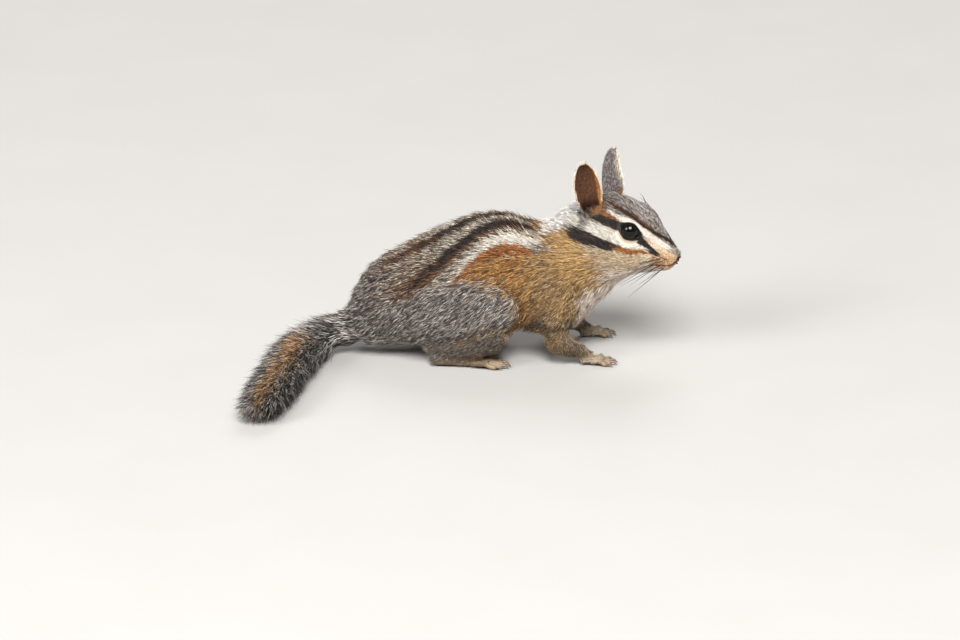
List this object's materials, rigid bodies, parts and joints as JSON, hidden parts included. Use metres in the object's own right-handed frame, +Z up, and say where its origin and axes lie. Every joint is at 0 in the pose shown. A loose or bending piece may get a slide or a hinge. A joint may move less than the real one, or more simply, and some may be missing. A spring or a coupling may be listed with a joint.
{
  "type": "chipmunk",
  "caption": "Life-size chipmunk crouched on all fours, ears up, head turned a little to its right, bushy tail laid out behind it on the floor.",
  "frame": {"origin": "centre of the bounding box in plan, at the floor", "axes": "+X towards the head, +Y to the animal's left, +Z up; the floor is z = 0"},
  "size_m": [0.1454, 0.097, 0.0683],
  "materials": {
    "coat_back": "short flat fur, striped dark brown, grey and white along the back",
    "coat_side": "short flat fur, ochre on the neck and the shoulder",
    "coat_head": "very short fur, striped white and dark brown through the eye and the cheek",
    "coat_haunch": "grey fur with pale tips",
    "coat_leg": "very short fur, horn-coloured claws",
    "ear": "thin, close brown hair inside, pale rim",
    "eye": "wet, black, glossy",
    "coat_tail": "long bushy hair, dark with frosted edges and a rusty middle"
  },
  "bodies": {
    "root": {"ear_left": "ear", "ear_right": "ear", "eye_left": "eye", "eye_right": "eye", "foot_left": "coat_leg", "foot_right": "coat_leg", "forearm_left": "coat_leg", "forearm_right": "coat_leg", "hand_left": "coat_leg", "hand_right": "coat_leg", "head": "coat_head", "neck": "coat_side", "shin_left": "coat_haunch", "shin_right": "coat_haunch", "tail_1": "coat_tail", "tail_2": "coat_tail", "tail_3": "coat_tail", "tail_4": "coat_tail", "thigh_left": "coat_haunch", "thigh_right": "coat_haunch", "torso": "coat_back", "upper_arm_left": "coat_side", "upper_arm_right": "coat_side"}
  },
  "joints": []
}
